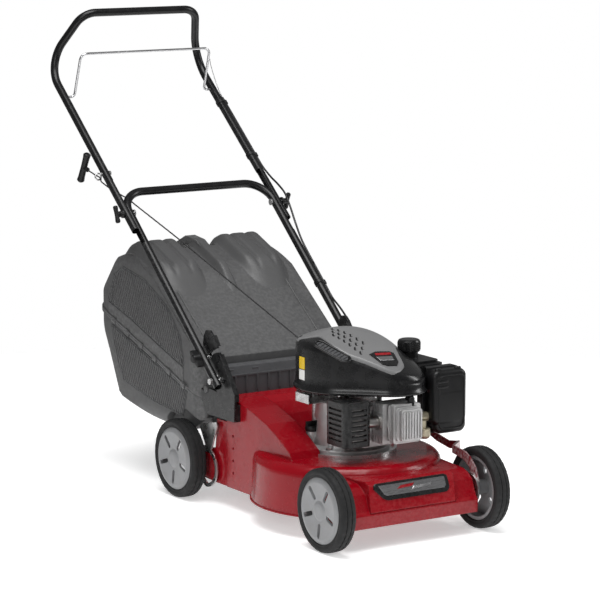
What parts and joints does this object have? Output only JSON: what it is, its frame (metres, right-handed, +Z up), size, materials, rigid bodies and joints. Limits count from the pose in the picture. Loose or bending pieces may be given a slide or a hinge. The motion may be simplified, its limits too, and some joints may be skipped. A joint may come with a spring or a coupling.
{
  "type": "walk-behind lawn mower",
  "caption": "Walk-behind petrol lawn mower with a pressed steel deck, folding tube handle, recoil starter and rear grass box.",
  "frame": {"origin": "on the ground, in the middle of the whole mower's bounding box", "axes": "+X to the operator's left, +Y back along the mower towards the operator, +Z up"},
  "size_m": [0.4778, 1.29, 1.0801],
  "materials": {
    "deck_paint": "glossy metallic dark red",
    "lever_paint": "glossy dark red",
    "black_paint": "satin black powder coat",
    "black_plastic": "fine grained black",
    "gloss_black": "semi-gloss black",
    "grey_plastic": "fine grained mid grey",
    "flap_plastic": "fine grained dark grey",
    "cover_plastic": "satin grey",
    "hub_plastic": "satin light grey",
    "tread_rubber": "black",
    "zinc": "zinc plated",
    "cast_aluminium": "as cast",
    "machined_steel": "machined",
    "badge_metal": "satin with a dark border",
    "carb_body": "warm cast",
    "cable_sheath": "smooth black",
    "rope_fibre": "braided black",
    "wire": "bright zinc"
  },
  "bodies": {
    "chassis": {"deck": "deck_paint", "nose_badge": "badge_metal", "handle_bracket_right": "black_paint", "handle_bracket_left": "black_paint", "flap_rod": "zinc", "flap_spring": "zinc", "engine_plate": "zinc", "crankcase": "cast_aluminium", "cylinder_block": "cast_aluminium", "cylinder_head": "cast_aluminium", "valve_cover": "cast_aluminium", "spark_plug": "black_plastic", "muffler": "machined_steel", "muffler_guard": "black_paint", "carburettor": "carb_body", "air_filter_box": "black_plastic", "air_filter_cover": "black_plastic", "fuel_tank": "black_plastic", "blower_shroud": "gloss_black", "shroud_cover": "cover_plastic", "cover_badge": "badge_metal", "brake_bracket": "zinc", "engine_bolts": "zinc", "brake_cable": "cable_sheath", "starter_rope": "rope_fibre"},
    "front_axle_unit": {"front_axle": "zinc", "front_height_lever": "lever_paint"},
    "rear_axle_unit": {"rear_axle": "zinc", "rear_height_lever": "zinc"},
    "wheel_front_right": {"tyre_front_right": "tread_rubber", "hub_front_right": "hub_plastic"},
    "wheel_front_left": {"tyre_front_left": "tread_rubber", "hub_front_left": "hub_plastic"},
    "wheel_rear_right": {"tyre_rear_right": "tread_rubber", "hub_rear_right": "hub_plastic"},
    "wheel_rear_left": {"tyre_rear_left": "tread_rubber", "hub_rear_left": "hub_plastic"},
    "rotor": {"crankshaft": "machined_steel", "flywheel": "cast_aluminium", "starter_pulley": "black_plastic", "blade_holder": "machined_steel", "blade": "machined_steel", "blade_bolt": "zinc"},
    "flap": {"rear_flap": "flap_plastic"},
    "cap": {"fuel_cap": "gloss_black"},
    "dipstick": {"oil_dipstick": "black_plastic"},
    "lower_frame": {"lower_handle": "black_paint", "handle_bolts": "zinc", "lower_cable_clip": "black_plastic"},
    "upper_frame": {"upper_handle": "black_paint", "upper_cable_clips": "black_plastic", "rope_guide": "zinc"},
    "bail_lever": {"bail": "wire"},
    "grip": {"starter_grip": "black_plastic"},
    "knob_upper_right": {"upper_knob_right": "black_plastic"},
    "knob_upper_left": {"upper_knob_left": "black_plastic"},
    "knob_lower_right": {"lower_knob_right": "black_plastic"},
    "knob_lower_left": {"lower_knob_left": "black_plastic"},
    "grass_box": {"grass_box_top": "grey_plastic", "grass_box_base": "grey_plastic"}
  },
  "joints": [
    {"name": "front_height", "type": "hinge", "parent": "chassis", "child": "front_axle_unit", "pos_m": [0, -0.552, 0.066], "axis": [1, 0, 0], "range_deg": [0, 60]},
    {"name": "rear_height", "type": "hinge", "parent": "chassis", "child": "rear_axle_unit", "pos_m": [0, 0.053, 0.066], "axis": [1, 0, 0], "range_deg": [0, 60]},
    {"name": "wheel_front_right_spin", "type": "hinge", "parent": "front_axle_unit", "child": "wheel_front_right", "pos_m": [-0.1995, -0.555, 0.09], "axis": [1, 0, 0], "continuous": true},
    {"name": "wheel_front_left_spin", "type": "hinge", "parent": "front_axle_unit", "child": "wheel_front_left", "pos_m": [0.1995, -0.555, 0.09], "axis": [1, 0, 0], "continuous": true},
    {"name": "wheel_rear_right_spin", "type": "hinge", "parent": "rear_axle_unit", "child": "wheel_rear_right", "pos_m": [-0.1995, 0.05, 0.09], "axis": [1, 0, 0], "continuous": true},
    {"name": "wheel_rear_left_spin", "type": "hinge", "parent": "rear_axle_unit", "child": "wheel_rear_left", "pos_m": [0.1995, 0.05, 0.09], "axis": [1, 0, 0], "continuous": true},
    {"name": "crank_spin", "type": "hinge", "parent": "chassis", "child": "rotor", "pos_m": [0, -0.3325, 0.2], "axis": [0, 0, 1], "continuous": true},
    {"name": "flap_lift", "type": "hinge", "parent": "chassis", "child": "flap", "pos_m": [0, -0.0895, 0.3], "axis": [1, 0, 0], "range_deg": [0, 55], "stiffness_Nm_per_rad": 0.3, "springref_deg": -28.65, "deforming": ["flap_spring"]},
    {"name": "fuel_cap_turn", "type": "hinge", "parent": "chassis", "child": "cap", "pos_m": [0.144, -0.3625, 0.38], "axis": [0, 0, 1], "range_deg": [0, 90]},
    {"name": "dipstick_turn", "type": "hinge", "parent": "chassis", "child": "dipstick", "pos_m": [-0.076, -0.3085, 0.205], "axis": [0, 0, 1], "range_deg": [0, 90]},
    {"name": "lower_handle_fold", "type": "hinge", "parent": "chassis", "child": "lower_frame", "pos_m": [0, -0.1025, 0.292], "axis": [-1, 0, 0], "range_deg": [-110, 0], "deforming": ["starter_rope", "brake_cable"]},
    {"name": "upper_handle_fold", "type": "hinge", "parent": "lower_frame", "child": "upper_frame", "pos_m": [0, 0.2765, 0.625], "axis": [1, 0, 0], "range_deg": [0, 140], "deforming": ["starter_rope", "brake_cable"]},
    {"name": "bail_squeeze", "type": "hinge", "parent": "upper_frame", "child": "bail_lever", "pos_m": [0, 0.5745, 0.8718], "axis": [1, 0, 0], "range_deg": [-45, 0], "stiffness_Nm_per_rad": 0.6, "springref_deg": 28.65, "deforming": ["brake_cable"]},
    {"name": "starter_pull", "type": "slide", "parent": "upper_frame", "child": "grip", "axis": [-0.0796, 0.9637, 0.2549], "range_m": [0, 0.45], "stiffness_N_per_m": 12, "springref_m": -0.4, "deforming": ["starter_rope"]},
    {"name": "grass_box_lift", "type": "slide", "parent": "chassis", "child": "grass_box", "axis": [0, 0.9397, 0.342], "range_m": [0, 0.35]},
    {"name": "upper_knob_right_turn", "type": "hinge", "parent": "lower_frame", "child": "knob_upper_right", "pos_m": [-0.222, 0.2765, 0.625], "axis": [-1, 0, 0], "continuous": true},
    {"name": "upper_knob_left_turn", "type": "hinge", "parent": "lower_frame", "child": "knob_upper_left", "pos_m": [0.222, 0.2765, 0.625], "axis": [1, 0, 0], "continuous": true},
    {"name": "lower_knob_right_turn", "type": "hinge", "parent": "lower_frame", "child": "knob_lower_right", "pos_m": [-0.216, -0.0525, 0.336], "axis": [-1, 0, 0], "continuous": true},
    {"name": "lower_knob_left_turn", "type": "hinge", "parent": "lower_frame", "child": "knob_lower_left", "pos_m": [0.216, -0.0525, 0.336], "axis": [1, 0, 0], "continuous": true}
  ]
}
